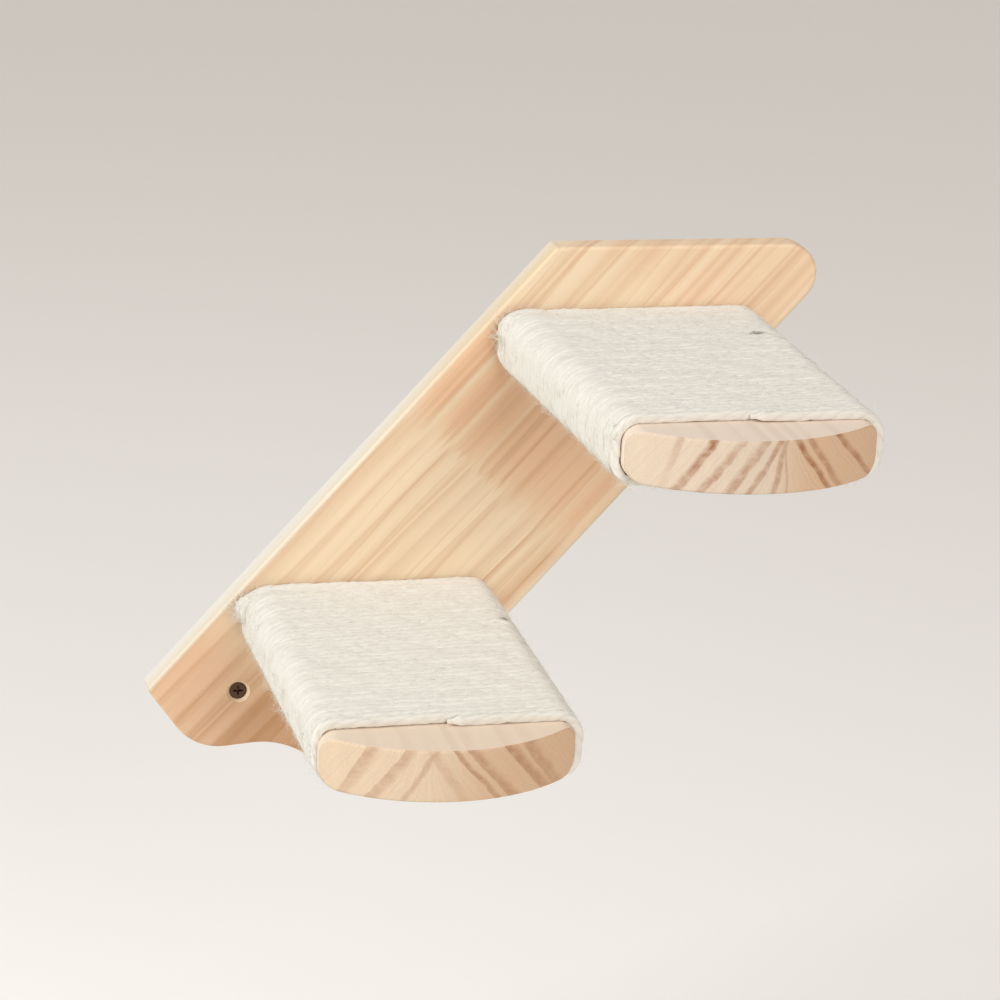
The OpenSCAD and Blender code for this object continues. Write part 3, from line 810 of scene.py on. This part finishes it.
class CATSHELF_OT_step_ropes(bpy.types.Operator):
    """Wind a three-strand rope round each step"""

    bl_idname = "cat_shelf.step_ropes"
    bl_label = "Step ropes"

    rings_per_turn = 156
    # Heights of the points round the rope: groove, shoulder, crown and shoulder for each strand
    profile = (0.0, 0.78, 1.0, 0.78) * 3
    # How square and how broad its neighbours press the rope, and how much more where fuzz fills the gaps
    squareness = (3.8, 6.0)
    breadth = (1.07, 0.34)
    # Lengths of the waves in which the rope strays, in metres
    waves = (0.031, 0.074, 0.19, 0.43)
    # How each step's rope stands off: in which direction, how closely it keeps to it, and how far, in
    # metres, at the board and at the front
    bulges = {
        "upper": ((172, 2, 0.01, 0.0), (90, 1, 0.0018, 0.0)),
        "lower": ((172, 2, 0.0018, 0.0), (215, 1.5, 0.0, -0.0034), (90, 1, 0.0012, 0.0)),
    }
    # Loose end at the board: how far down the left side, how long, and how far it stands off, in metres;
    # the turn in front of it stands off by a share of that
    loose = {
        "upper": ((-0.004, 0.004, 0.0016), (0.008, 0.004, 0.0012)),
        "lower": ((-0.0022, 0.0042, 0.0044),),
    }
    next_share = 0.6
    # Places where two turns part, with painted shade in the gap: how many turns from the rope's start, over
    # which length, and how far, in metres
    partings = {
        "upper": ((11.521, 0.007, 0.003), (39.967, 0.005, 0.0018)),
        "lower": ((13.487, 0.0035, 0.003),),
    }
    # Length over which the rope tapers to its end, in metres, and how thin it gets
    end_taper, end_share = 0.006, 0.45
    # Side where fuzz is strongest, how it falls off, its least strength, and the last turns, without it
    fuzzy_side, fuzz_fall, least_fuzz, bare_turns = (-0.94, 0.34), 0.7, 0.5, 1.2
    # Points along a fibre and round it
    fibre_bends, fibre_sides = 3, 3
    # Fibres: spread of their headings and of their curl, their lengths, and how flat they lie
    fibre_heading, fibre_curl, fibre_reach, fibre_rise = 0.55, 0.25, (0.4, 1.5), (0.02, 0.3)
    # Hairs that stand off in clumps: on which side, how many in each, and how thick, how long and how steep
    shaggy_side, clump_size = (-0.77, 0.0, -0.64), 5
    hair_thickness, hair_length, hair_rise = 1.9, 0.9, (0.35, 1.1)
    # Fibres of the frayed end: where and how widely they grow, in metres down the left side, on how many
    # turns, and how thick, how steep and how curled they are
    tuft_place, tuft_spread, tuft_turns = -0.0015, 0.004, 2.0
    tuft_thickness, tuft_rise, tuft_curl = 2.8, (0.5, 1.6), 3

    def execute(self, context):
        look = context.scene.cat_shelf_ropes
        material = finish(
            "rope_fibre", rope_paint(look), IOR=1.4, Sheen_Weight=0.3, Sheen_Roughness=0.7,
            Specular_IOR_Level=0.15,
        )
        for seed, step in enumerate(STEPS):
            winding = Winding(step, look)
            chance = np.random.RandomState(look.seed + seed)
            route = self.route(winding, chance)
            mesh = self.rope_mesh(f"{step}_rope_winding", winding, route, material)
            piece(f"{step}_rope_winding", mesh, [f"{step}_step_rope"])
            fibres = self.fibre_mesh(f"{step}_rope_fibres", winding, route, chance, material)
            piece(f"{step}_rope_fibres", fibres)
        return {"FINISHED"}

    def route(self, winding, chance):
        """Places of the rope's middle, its outward directions, and lengths of rope from its start."""
        look = winding.look
        top_middle = 2 * winding.flats.sum() + 2 * winding.quarter + winding.flats[0]
        end = look.turns + (top_middle + look.tail) / winding.girth
        rings = int(end * self.rings_per_turn) + 1
        turn = np.arange(rings) / self.rings_per_turn
        run = turn * winding.girth
        place, out = winding.section(run)
        front = turn / turn[-1]
        depth = winding.rear - winding.radius - front * (winding.rear - winding.front - 2 * winding.radius)
        stray = [self.wander(run, chance) * look.wander for _ in range(2)]
        bulge = self.bulge(winding, run, out, front)
        press = self.press(winding.step, winding.centre.x + place[:, 0], depth, out[:, 1])
        lift = ((stray[0] + bulge) * (1 - press) - look.bite * press)[:, None] * out
        shift = stray[1] + self.parting(winding, run)[0]
        across, up = winding.centre.x + place[:, 0] + lift[:, 0], winding.centre.z + place[:, 1] + lift[:, 1]
        middle = np.stack([across, depth + shift, up], axis=1)
        outward = np.stack([out[:, 0], np.zeros(rings), out[:, 1]], axis=1)
        return middle, outward, run

    def bulge(self, winding, run, out, front):
        """How far the rope stands off the plank."""
        bulge = np.zeros(len(run))
        for angle, closeness, at_board, at_front in self.bulges[winding.step]:
            way = np.array([math.cos(math.radians(angle)), math.sin(math.radians(angle))])
            bulge += np.clip(out @ way, 0, 1) ** closeness * (at_board + (at_front - at_board) * front)
        for down, reach, rise in self.loose[winding.step]:
            for turn, part in ((0, 1.0), (1, self.next_share)):
                start = winding.left_start + turn * winding.girth
                bulge += part * rise * np.exp(-(((run - start - down) / reach) ** 2))
        return bulge

    def parting(self, winding, run):
        """How far turns are shifted where two of them part, and how near they are to the gap, from 0 to 1;
        the nearness sets the painted shade in the gap.
        """
        shift, parting_shade = np.zeros((2, len(run)))
        for place, reach, gap in self.partings[winding.step]:
            for side, way in ((0, 0.5), (1, -0.5)):
                near = np.exp(-(((run - (place + side) * winding.girth) / reach) ** 2))
                shift += way * gap * near
                parting_shade += near * (side == 0)
        return shift, parting_shade

    def press(self, step, across, depth, up):
        """How far a staple holds the rope in, from 0 to 1."""
        held = np.zeros(len(across))
        underside = up < -0.9
        for place in STAPLES:
            low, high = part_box(f"{step}_step_staple_{place}")
            middle = (low + high) / 2
            reach = (high.y - low.y) / 2
            aside, ahead = (across - middle.x) / (1.6 * reach), (depth - middle.y) / (1.2 * reach)
            held = np.maximum(held, np.exp(-(aside**2) - ahead**4) * underside)
        return held

    def wander(self, run, chance):
        """A smooth, irregular value along the rope, mostly from -1 to 1."""
        total = np.zeros(len(run))
        for wave in self.waves:
            total += np.sin(run * 2 * math.pi / wave + chance.uniform(0, 2 * math.pi)) / 2
        return total

    def fuzz(self, winding, route):
        """How far fuzz hides the strands, from 0 to 1: most on the left, and not on the last turns."""
        _, outward, run = route
        side = outward[:, 0] * self.fuzzy_side[0] + outward[:, 2] * self.fuzzy_side[1]
        strength = np.maximum(np.clip(side, 0, 1) ** self.fuzz_fall, self.least_fuzz)
        return strength * np.clip((run[-1] - run) / winding.girth - self.bare_turns, 0, 1)

    def around(self, winding, angle, height, fuzz):
        """Offsets along the step and outward of points round the rope, pressed square by its neighbours."""
        bend = 2 / (self.squareness[0] + self.squareness[1] * fuzz)
        forward, out = (np.sign(part) * np.abs(part) ** bend for part in (np.cos(angle), np.sin(angle)))
        reach = winding.radius * (1 - winding.look.strand_depth * (1 - 0.7 * fuzz) * (1 - height))
        return reach * (self.breadth[0] + self.breadth[1] * fuzz) * forward, reach * out

    def rope_mesh(self, name, winding, route, material):
        """The rope as one tube with three strands, lumpy and woolly."""
        middle, outward, run = route
        look = winding.look
        sides = len(self.profile)
        height = np.array(self.profile)[None, :]
        twist = run / look.lay + self.wander(run / 3, np.random.RandomState(look.seed)) * 0.3
        angle = 2 * math.pi * (np.arange(sides)[None, :] / sides - twist[:, None])
        fuzz = self.fuzz(winding, route)[:, None]
        forward, out = self.around(winding, angle, height, fuzz)
        taper = np.clip((run[-1] - run) / self.end_taper, self.end_share, 1)[:, None]
        chance = np.random.RandomState(look.seed + 5)
        lump = self.wander(run * 3.1, chance)[:, None] * look.lumps * np.clip(1.6 - 1.2 * fuzz, 0, 1)
        wool = chance.normal(0, 1, angle.shape) * look.wool * np.clip(1.8 - 1.6 * fuzz, 0.25, 1)
        forward, out = forward * taper, out * taper * (1 + lump + wool)
        points = middle[:, None, :] + forward[..., None] * FRONT + out[..., None] * outward[:, None, :]
        mesh = ring_mesh(name, points, [material])
        lay = np.stack([np.broadcast_to(run[:, None], angle.shape), forward, out], axis=-1) * PER_METRE
        # Painted shade on the front of the turn behind each parting, and painted shade in the grooves, which
        # fuzz lifts towards the crown colour
        parting_shade = self.parting(winding, run)[1][:, None] * np.clip(forward / winding.radius * 1.5, 0, 1)
        crown = (height + (1 - height) * 0.7 * fuzz) * (1 - parting_shade) - parting_shade
        self.store(mesh, lay.reshape(-1, 3), crown.ravel(), np.broadcast_to(fuzz, angle.shape).ravel())
        self.unroll(mesh, len(run), sides)
        return mesh

    def store(self, mesh, lay, crown, fuzz):
        """Keeps what the rope's material reads: place along and round the rope, strands' height, which sets
        the painted shade of the grooves and falls below 0 where a parting gets painted shade, and fuzz.
        """
        kept = mesh.attributes.new("lay", "FLOAT_VECTOR", "POINT")
        kept.data.foreach_set("vector", lay.astype(np.float32).ravel())
        for name, values in (("crown", crown), ("fuzz", fuzz)):
            mesh.attributes.new(name, "FLOAT", "POINT").data.foreach_set("value", values.astype(np.float32))

    def unroll(self, mesh, rings, sides):
        """Lays the rope's surface out flat to be baked, one turn above the other with a gap between."""
        filled = 0.96
        ring = np.repeat(np.arange(rings - 1), sides)
        side = np.tile(np.arange(sides), rings - 1)
        turn = ring // self.rings_per_turn
        turns = turn.max() + 1
        left = ring % self.rings_per_turn / self.rings_per_turn
        right = left + 1 / self.rings_per_turn
        low, high = ((turn + edge / sides * filled) / turns for edge in (side, side + 1))
        self.flatten(mesh, np.stack([left, low, left, high, right, high, right, low], axis=1))

    def lay_out(self, mesh, total, quads):
        """Gives each side of each fibre its own cell of a grid, to be baked in."""
        columns = math.ceil(math.sqrt(total * quads))
        cell = np.arange(total * quads)
        corner = np.stack([cell % columns, cell // columns], axis=1)[:, None, :]
        square = np.array([[0.05, 0.05], [0.95, 0.05], [0.95, 0.95], [0.05, 0.95]])[None]
        self.flatten(mesh, (corner + square) / columns)

    def flatten(self, mesh, corners):
        """Keeps places of the first faces' corners on a flat map; the closing faces stay at its origin."""
        flat = np.zeros(2 * len(mesh.loops), np.float32)
        flat[: corners.size] = corners.ravel()
        mesh.uv_layers.new(name=BAKE_MAP).data.foreach_set("uv", flat)

    def fibre_mesh(self, name, winding, route, chance, material):
        """Loose fibres that lie on the rope or stand off it, as fine tapered threads."""
        middle, outward, run = route
        look = winding.look
        total = look.fibres
        tuft, hairs = slice(0, look.tuft), slice(look.tuft, look.tuft + int(look.hair_share * total))
        clump = np.arange(hairs.stop - hairs.start) // self.clump_size * self.clump_size
        ring, angle = self.fibre_roots(winding, route, chance, tuft, hairs, clump)
        fuzz = self.fuzz(winding, route)[ring]
        thick = np.full(total, look.fibre_thickness / 2)
        thick[tuft] *= self.tuft_thickness
        thick[hairs] *= self.hair_thickness
        thick *= 1.2 - 0.6 * fuzz
        forward, out = self.around(winding, angle, 0.8, fuzz)
        along = middle[ring + 1] - middle[ring - 1]
        along /= np.linalg.norm(along, axis=1)[:, None]
        root = middle[ring] + forward[:, None] * FRONT + out[:, None] * outward[ring]
        normal = np.cos(angle)[:, None] * FRONT + np.sin(angle)[:, None] * outward[ring]
        side = np.cross(along, normal)
        heading = chance.normal(0, self.fibre_heading, total) + math.pi * chance.randint(0, 2, total)
        way = np.cos(heading)[:, None] * along + np.sin(heading)[:, None] * side
        cross = np.cross(way, normal)
        reach = look.fibre_length * chance.uniform(*self.fibre_reach, total)
        rise = self.fibre_rise[0] + self.fibre_rise[1] * chance.uniform(0, 1, total) ** 3
        curl = chance.normal(0, self.fibre_curl, total)
        steepness = chance.uniform(*self.hair_rise, len(clump))
        rise[hairs] = steepness * (0.3 + 0.7 * chance.uniform(0, 1, len(clump))[clump])
        reach[hairs] *= self.hair_length
        rise[tuft] = chance.uniform(*self.tuft_rise, look.tuft)
        curl[tuft] *= self.tuft_curl
        steps = np.linspace(0, 1, self.fibre_bends)
        line = root[:, None, :] + reach[:, None, None] * (
            way[:, None, :] * steps[None, :, None]
            + normal[:, None, :] * (rise[:, None] * steps - 0.1 * rise[:, None] * steps**2)[..., None]
            + cross[:, None, :] * (curl[:, None] * steps**2)[..., None]
        )
        mesh = self.threads(name, line, thick[:, None] * (1 - 0.7 * steps), normal, cross)
        mesh.materials.append(material)
        points = self.fibre_bends * self.fibre_sides
        lay = np.repeat(np.stack([run[ring], forward, out], axis=1) * PER_METRE, points, axis=0)
        self.store(mesh, lay, np.full(len(lay), 0.95), np.full(len(lay), 0.5))
        self.lay_out(mesh, total, (self.fibre_bends - 1) * self.fibre_sides)
        return mesh

    def fibre_roots(self, winding, route, chance, tuft, hairs, clump):
        """Where fibres grow: a ring of the rope for each, and an angle round it."""
        _, outward, run = route
        look = winding.look
        ring = chance.randint(2, len(run) - 2, look.fibres)
        angle = chance.uniform(0.08, 0.92, look.fibres) * math.pi
        frayed = winding.left_start + chance.normal(self.tuft_place, self.tuft_spread, look.tuft)
        turn = chance.uniform(0, self.tuft_turns, look.tuft).astype(int)
        ring[tuft] = (frayed / winding.girth + turn) * self.rings_per_turn
        low_left = np.flatnonzero(outward[2:-3] @ np.array(self.shaggy_side) > 0.2) + 2
        shaggy = low_left[chance.randint(0, len(low_left), len(clump))][clump]
        ring[hairs] = np.clip(shaggy + chance.normal(0, 0.8, len(clump)), 2, len(run) - 3)
        angle[hairs] = np.clip(angle[hairs][clump] + chance.normal(0, 0.25, len(clump)), 0.2, 2.9)
        return ring, angle

    def threads(self, name, line, thick, normal, cross):
        """A mesh of many fine tubes along lines of points."""
        total, bends, sides = *line.shape[:2], self.fibre_sides
        spin = 2 * math.pi * np.arange(sides) / sides
        spread = np.cos(spin)[:, None] * normal[:, None, :] + np.sin(spin)[:, None] * cross[:, None, :]
        points = line[:, :, None, :] + thick[:, :, None, None] * spread[:, None, :, :]
        base = (np.arange(total) * bends * sides)[:, None, None]
        level = (np.arange(bends - 1) * sides)[None, :, None]
        this, following = np.arange(sides), (np.arange(sides) + 1) % sides
        corners = (this, following, following + sides, this + sides)
        quads = np.stack([base + level + corner for corner in corners], axis=-1).reshape(-1, 4)
        starts = base[:, 0] + np.arange(sides)[::-1]
        ends = base[:, 0] + (bends - 1) * sides + np.arange(sides)
        mesh = bpy.data.meshes.new(name)
        mesh.from_pydata(points.reshape(-1, 3).tolist(), [], quads.tolist() + starts.tolist() + ends.tolist())
        return mesh


class CATSHELF_OT_fixings(bpy.types.Operator):
    """Make the screws, dowels and staples"""

    bl_idname = "cat_shelf.fixings"
    bl_label = "Screws, dowels and staples"

    # Sides of a screw, and rings of points in one turn of its thread
    screw_sides, thread_rings = 20, 8
    # Heights of the chamfer and the straight rim of a screw's head, and length of its point, in metres
    chamfer, rim, point_length = 0.00012, 0.0004, 0.008
    # How far before the thread its rings of points begin, and how far before the tip they end, in metres
    thread_lead, thread_stop = 0.001, 0.0001
    # How far the recess is cut from above the head, and width of the bevel on the staples, in metres
    overcut, wire_bevel = 0.0005, 0.00012

    def execute(self, context):
        look = context.scene.cat_shelf_fixings
        bronze, zinc, wire = (
            finish(name, metal_paint(shade, scaled(shade, worn), scale), Metallic=metallic)
            for name, shade, worn, scale, metallic in (
                ("dark_bronze", look.bronze, 1.7, 900.0, 0.75),
                ("zinc_plate", look.zinc, 0.8, 700.0, 1.0),
                ("staple_wire", look.wire, 0.75, 900.0, 1.0),
            )
        )
        beech = finish("dowel_beech", dowel_paint(look))
        self.screws(look, "wall_screw", [f"wall_screw_{step}" for step in STEPS], bronze, "dark_screw", 1)
        names = [f"{step}_step_screw_{place}" for step in STEPS for place in SCREWS]
        self.screws(look, "step_screw", names, zinc, "step_screw_steel", -1)
        for step in STEPS:
            for place in DOWELS:
                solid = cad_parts[f"{step}_step_dowel_{place}"]
                solid.data.materials.clear()
                solid.data.materials.append(beech)
            for place in STAPLES:
                self.staple(look, f"{step}_step_staple_{place}", wire)
        return {"FINISHED"}

    def screws(self, look, kind, nodes, material, slot, way):
        """Threaded screws with a cross recess, which point along Y in the way that is given."""
        front, back = (corner.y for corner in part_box("backboard"))
        boxes = [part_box(node) for node in nodes]
        low, high = boxes[0]
        plain = back - low.y if way > 0 else high.y - front
        mesh = self.screw_mesh(look, kind, high.x - low.x, high.y - low.y, plain)
        mesh.materials.append(material)
        turn = Matrix.Rotation(-math.pi / 2 * way, 4, "X")
        for node, (low, high) in zip(nodes, boxes):
            head = low.y if way > 0 else high.y
            place = Matrix.Translation(((low.x + high.x) / 2, head, (low.z + high.z) / 2))
            piece(f"{node}_threaded", mesh, [node], place @ turn)

    def screw_mesh(self, look, kind, head, total, plain):
        """A screw along +Z with the rim of its head at the origin; its thread begins after a plain length."""
        thread, shank, core = look.thread_radius, look.shank_radius, look.core_radius
        pitch, top = look.thread_pitch, head / 2
        rows = [(top * 0.96, 0.0), (top, self.chamfer), (top, self.rim), (shank, top - shank + self.rim)]
        angle = 2 * math.pi * np.arange(self.screw_sides) / self.screw_sides
        level = np.arange(plain - self.thread_lead, total - self.thread_stop, pitch / self.thread_rings)
        level = np.append(level, total)[:, None]
        tip = np.clip((total - level) / self.point_length, 0.04, 1)
        start = np.clip((level - plain) / pitch, 0, 1)
        wave = np.abs(np.mod(level / pitch - angle / (2 * math.pi), 1) * 2 - 1)
        ridge = np.clip(wave * 2.4 - 1.4, 0, 1)
        base = shank + (core - shank) * start
        threaded = (base + (thread - base) * ridge * start) * tip
        smooth = np.array([[radius] * self.screw_sides for radius, _ in rows])
        radius = np.concatenate([smooth, threaded])
        height = np.concatenate([[[height] for _, height in rows], level])
        rings = [radius * np.cos(angle), radius * np.sin(angle), np.broadcast_to(height, radius.shape)]
        holder = bpy.data.objects.new(kind, ring_mesh(kind, np.stack(rings, axis=-1)))
        cutter = bpy.data.objects.new(f"{kind}_recess", self.recess_mesh(look))
        for part in (holder, cutter):
            bpy.context.scene.collection.objects.link(part)
        cut = holder.modifiers.new("recess", "BOOLEAN")
        cut.object = cutter
        cut.solver = "EXACT"
        graph = bpy.context.evaluated_depsgraph_get()
        result = bpy.data.meshes.new_from_object(holder.evaluated_get(graph))
        for part in (holder, cutter):
            bpy.data.objects.remove(part)
        shape = shape_of(result)
        keep_sharp(shape, 35)
        return mesh_of(kind, shape)

    def recess_mesh(self, look):
        """A cross that narrows to its bottom."""
        rings = []
        for level, narrow in ((-self.overcut, 1.1), (look.recess_depth, 0.45)):
            reach, width = look.recess_reach / 2 * narrow, look.recess_width / 2 * (0.6 + 0.4 * narrow)
            quarter = [(reach, -width), (reach, width), (width, width)]
            cross = []
            for _ in range(4):
                cross += quarter
                quarter = [(-y, x) for x, y in quarter]
            rings.append([(x, y, level) for x, y in cross])
        return ring_mesh("recess", np.array(rings))

    def staple(self, look, node, material):
        """A staple of flat wire with rounded shoulders, its crown below."""
        low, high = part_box(node)
        size = high - low
        thick, bend = look.wire_thickness, look.wire_bend
        half = size.y / 2 - thick / 2
        line = [(-half, size.z), (-half, size.z * 0.5), (-half, bend)]
        for angle in (math.pi / 6, math.pi / 3, math.pi / 2):
            rise = bend * (1 - math.sin(angle)) + thick / 2 * math.sin(angle)
            line.append((-half + bend * (1 - math.cos(angle)), rise))
        line += [(-y, z) for y, z in reversed(line)]
        line = np.array(line)
        ahead = np.gradient(line, axis=0)
        ahead /= np.linalg.norm(ahead, axis=1)[:, None]
        normal = np.stack([-ahead[:, 1], ahead[:, 0]], axis=1) * thick / 2
        normal[[0, -1]] *= 0.3
        centre = (low + high) / 2
        breadth = size.x / 2
        rings = []
        for (y, z), (ny, nz) in zip(line, normal):
            rings.append([
                (centre.x + x, centre.y + y + s * ny, low.z + z + s * nz)
                for x, s in ((-breadth, -1), (breadth, -1), (breadth, 1), (-breadth, 1))
            ])
        mesh = ring_mesh(f"{node}_wire", np.array(rings), [material])
        shape = shape_of(mesh)
        bmesh.ops.recalc_face_normals(shape, faces=shape.faces)
        keep_sharp(shape, 40)
        shape.to_mesh(mesh)
        shape.free()
        made = piece(f"{node}_wire", mesh, [node])
        edge = made.modifiers.new("edge", "BEVEL")
        edge.width, edge.segments = self.wire_bevel, 2


class CATSHELF_OT_stage(bpy.types.Operator):
    """Set up the floor, the light and the camera"""

    bl_idname = "cat_shelf.stage"
    bl_label = "Stage"

    # Where each lamp stands as seen from the middle of the part, how far off, how large it is, and its colour
    lamps = {
        "side": ((-0.8, -0.14, 0.58), 2.4, 1.4, (0.94, 1, 1.01)),
        "front": ((0.18, -0.925, 0.33), 2.8, 1.1, (0.97, 1, 1.02)),
    }

    def execute(self, context):
        look = context.scene.cat_shelf_stage
        scene = context.scene
        scene.view_settings.view_transform = "Standard"
        self.camera(scene, look)
        self.floor(scene, look)
        for name in self.lamps:
            self.lamp(scene, name, getattr(look, f"{name}_power"))
        self.sky(scene, look)
        return {"FINISHED"}

    def sky(self, scene, look):
        """Even light from all round, which looks pale itself."""
        world = bpy.data.worlds.new("studio")
        world.use_nodes = True
        sky = world.node_tree.nodes["Background"]
        light = self.seen(Wire(world.node_tree)).blend(scaled(look.sky_tone, look.sky), look.backdrop)
        world.node_tree.links.new(light.socket, sky.inputs["Color"])
        scene.world = world

    def seen(self, start):
        """1 where the camera looks, straight or by a reflection, and 0 for the light that falls on things."""
        kinds = ("Camera", "Glossy", "Transmission")
        rays = [start.node("ShaderNodeLightPath", output=f"Is {kind} Ray") for kind in kinds]
        return rays[0].maths("MAXIMUM", rays[1]).maths("MAXIMUM", rays[2])

    def camera(self, scene, look):
        lens = bpy.data.cameras.new("camera")
        lens.lens = look.lens
        lens.sensor_width = 36
        lens.clip_start, lens.clip_end = 0.05, 60
        camera = bpy.data.objects.new("camera", lens)
        turn = Euler(look.camera_turn).to_matrix().to_4x4()
        camera.matrix_world = Matrix.Translation(look.camera_place) @ turn
        scene.collection.objects.link(camera)
        scene.camera = camera

    def floor(self, scene, look):
        level, reach = CAD_BOX[0].z - look.floor_drop, look.floor_reach
        corners = [(x * reach, y * reach, level) for x, y in ((-1, -1), (1, -1), (1, 1), (-1, 1))]
        mesh = bpy.data.meshes.new("floor")
        mesh.from_pydata(corners, [], [(0, 1, 2, 3)])

        def paint(start):
            grain = start.object_place().noise(30.0, 2.0)
            return {
                "Base Color": grain.blend(look.floor, scaled(look.floor, 0.985)),
                "Emission Color": self.seen(start).blend((0, 0, 0), look.backdrop),
            }

        mesh.materials.append(finish("pale_floor", paint, Roughness=0.9, Emission_Strength=look.floor_glow))
        floor = bpy.data.objects.new("floor", mesh)
        scene.collection.objects.link(floor)

    def lamp(self, scene, name, energy):
        way, distance, size, tone = self.lamps[name]
        light = bpy.data.lights.new(f"{name}_light", "AREA")
        light.energy, light.size, light.color = energy, size, tone
        lamp = bpy.data.objects.new(f"{name}_light", light)
        off = distance * Vector(way)
        place = (CAD_BOX[0] + CAD_BOX[1]) / 2 + off
        lamp.matrix_world = Matrix.Translation(place) @ (-off).to_track_quat("-Z", "Y").to_matrix().to_4x4()
        scene.collection.objects.link(lamp)


OPERATORS = (
    CATSHELF_OT_stage,
    CATSHELF_OT_backboard,
    CATSHELF_OT_step_planks,
    CATSHELF_OT_step_ropes,
    CATSHELF_OT_fixings,
)
SETTINGS = {
    "cat_shelf_stage": StageSettings,
    "cat_shelf_board": BoardSettings,
    "cat_shelf_steps": StepSettings,
    "cat_shelf_ropes": RopeSettings,
    "cat_shelf_fixings": FixingSettings,
}


class CATSHELF_PT_panel(bpy.types.Panel):
    """Pieces of the cat wall shelf and their settings"""

    bl_idname = "CATSHELF_PT_panel"
    bl_label = "Cat Wall Shelf"
    bl_space_type = "VIEW_3D"
    bl_region_type = "UI"
    bl_category = "Cat Shelf"

    def draw(self, context):
        for operator, name in zip(OPERATORS, SETTINGS):
            box = self.layout.box()
            box.operator(operator.bl_idname)
            settings = getattr(context.scene, name)
            for key in settings.__annotations__:
                box.prop(settings, key)


def register():
    for group in (*SETTINGS.values(), *OPERATORS, CATSHELF_PT_panel):
        bpy.utils.register_class(group)
    for name, group in SETTINGS.items():
        setattr(bpy.types.Scene, name, PointerProperty(type=group))


def unregister():
    for name in SETTINGS:
        delattr(bpy.types.Scene, name)
    for group in (CATSHELF_PT_panel, *reversed(OPERATORS), *reversed(SETTINGS.values())):
        bpy.utils.unregister_class(group)


def main():
    register()
    bpy.ops.cat_shelf.stage()
    bpy.ops.cat_shelf.backboard()
    bpy.ops.cat_shelf.step_planks()
    bpy.ops.cat_shelf.step_ropes()
    bpy.ops.cat_shelf.fixings()


if __name__ == "__main__":
    main()
